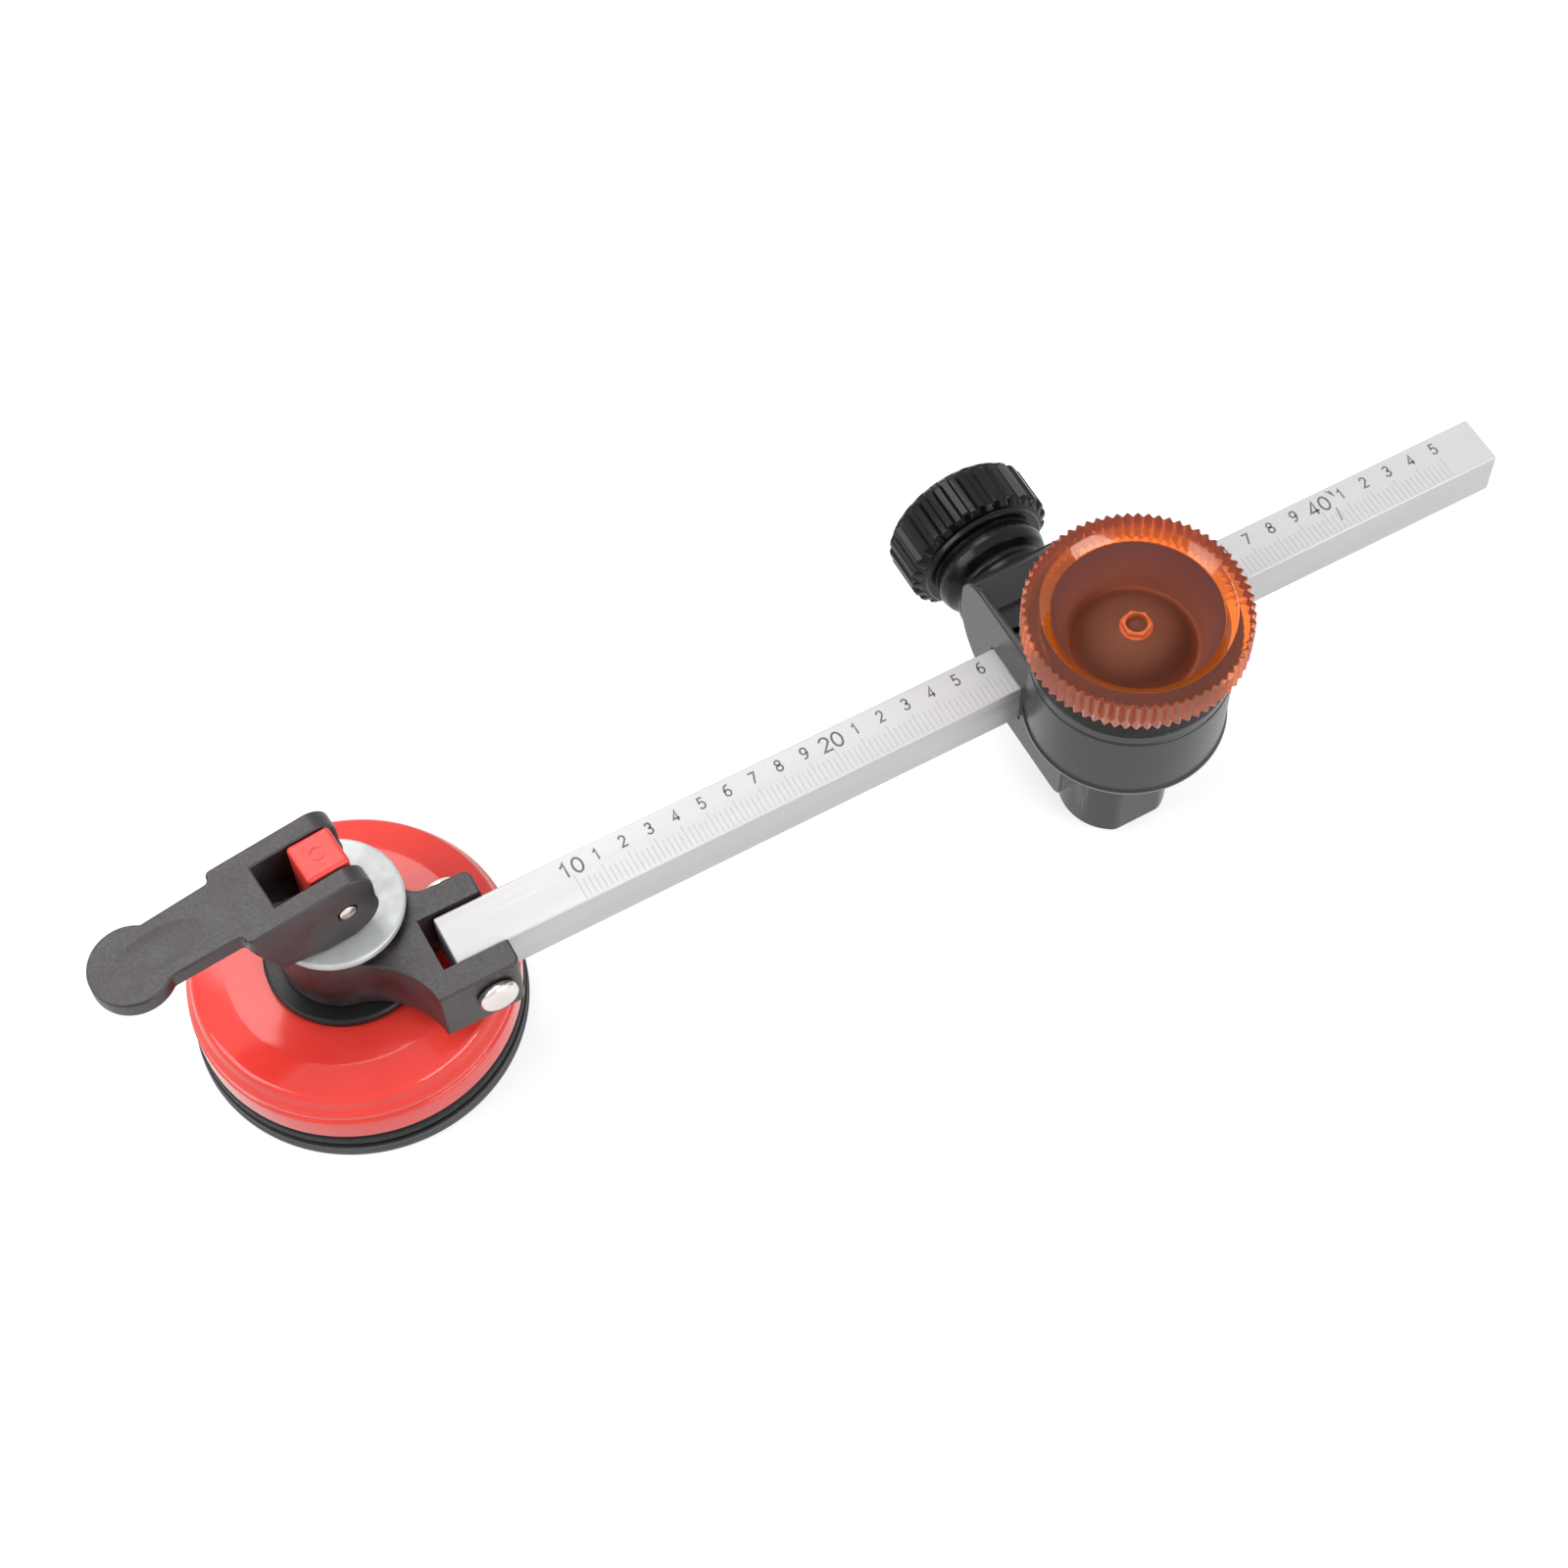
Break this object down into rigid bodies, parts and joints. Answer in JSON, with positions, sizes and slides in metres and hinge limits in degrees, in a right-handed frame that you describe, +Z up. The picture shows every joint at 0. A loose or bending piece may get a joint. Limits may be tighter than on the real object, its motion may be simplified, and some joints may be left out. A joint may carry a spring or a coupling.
{
  "type": "circle cutter",
  "caption": "Compass cutter for glass: a lever locked suction cup, a swinging arm with a square scale bar, and a sliding, clamped cutting head with an oil tank and a small wheel.",
  "frame": {"origin": "middle of the suction pad on the glass, where the arm's turning axis meets the glass", "axes": "+Z up from the glass, +X along the bar from the cup to the bar's free end, +Y across the bar towards the clamp knob"},
  "size_m": [0.2633, 0.0769, 0.0603],
  "materials": {
    "pad_rubber": "satin black rubber",
    "red_shell": "glossy moulded red plastic",
    "black_ring": "black, half gloss",
    "zinc_washer": "bright zinc plate",
    "red_stem": "red plastic, half gloss",
    "charcoal_lever": "charcoal moulded plastic, fine grain",
    "bright_steel": "ground steel",
    "charcoal_arm": "charcoal moulded plastic, fine grain",
    "nickel": "polished nickel plate",
    "aluminium_bar": "pale satin aluminium",
    "charcoal_head": "charcoal moulded plastic, half gloss",
    "felt": "pressed felt",
    "brass": "turned brass",
    "seal_rubber": "black rubber",
    "orange_cap": "clear orange plastic",
    "black_knob": "glossy black plastic",
    "hard_steel": "hardened and ground steel"
  },
  "bodies": {
    "cup": {"suction_pad": "pad_rubber", "cup_shell": "red_shell", "bearing_ring": "black_ring", "cam_washer": "zinc_washer"},
    "plunger": {"plunger": "red_stem"},
    "lever": {"cam_lever": "charcoal_lever", "lever_pin": "bright_steel"},
    "arm": {"swing_arm": "charcoal_arm", "bar_pin": "nickel", "pin_cap": "nickel"},
    "bar": {"scale_bar": "aluminium_bar"},
    "head": {"head_body": "charcoal_head", "oil_wick": "felt", "holder_bush": "brass", "threaded_insert": "brass"},
    "seal": {"cap_seal": "seal_rubber"},
    "cap": {"oil_cap": "orange_cap"},
    "shoe": {"clamp_shoe": "bright_steel"},
    "knob": {"clamp_knob": "black_knob", "clamp_stud": "bright_steel"},
    "swivel": {"wheel_holder": "bright_steel", "holder_clip": "bright_steel", "wheel_axle": "bright_steel"},
    "wheel": {"cutting_wheel": "hard_steel"}
  },
  "joints": [
    {"name": "plunger_slide", "type": "slide", "parent": "cup", "child": "plunger", "axis": [0, 0, 1], "range_m": [-0.0022, 0], "deforming": ["suction_pad"]},
    {"name": "lever_turn", "type": "hinge", "parent": "plunger", "child": "lever", "pos_m": [0, 0, 0.0462], "axis": [-0.0785, 0.9969, 0], "range_deg": [0, 90]},
    {"name": "arm_swing", "type": "hinge", "parent": "cup", "child": "arm", "pos_m": [0, 0, 0.0287], "axis": [0, 0, 1], "continuous": true},
    {"name": "bar_lift", "type": "hinge", "parent": "arm", "child": "bar", "pos_m": [0.0176, -0.0138, 0.0292], "axis": [0, -1, 0], "range_deg": [0, 75]},
    {"name": "head_slide", "type": "slide", "parent": "bar", "child": "head", "axis": [1, 0, 0], "range_m": [-0.08, 0.075]},
    {"name": "cap_lift", "type": "slide", "parent": "head", "child": "seal", "axis": [0, 0, 1], "range_m": [0, 0.0031]},
    {"name": "cap_turn", "type": "hinge", "parent": "seal", "child": "cap", "pos_m": [0.1375, -0.028, 0.0569], "axis": [0, 0, 1], "range_deg": [0, 540]},
    {"name": "shoe_slide", "type": "slide", "parent": "head", "child": "shoe", "axis": [0, 1, 0], "range_m": [0, 0.00101]},
    {"name": "knob_turn", "type": "hinge", "parent": "shoe", "child": "knob", "pos_m": [0.1323, 0.017, 0.0292], "axis": [0, 1, 0], "range_deg": [0, 360]},
    {"name": "wheel_swivel", "type": "hinge", "parent": "head", "child": "swivel", "pos_m": [0.1375, -0.028, 0.0085], "axis": [0, 0, 1], "continuous": true},
    {"name": "wheel_roll", "type": "hinge", "parent": "swivel", "child": "wheel", "pos_m": [0.1375, -0.028, 0.0029], "axis": [1, 0, 0], "continuous": true}
  ],
  "couplings": [
    {"joint": "plunger_slide", "follows": "lever_turn", "m_per_rad": -0.0014},
    {"joint": "cap_lift", "follows": "cap_turn", "m_per_rad": 0.00031831},
    {"joint": "shoe_slide", "follows": "knob_turn", "m_per_rad": 0.00015915}
  ]
}
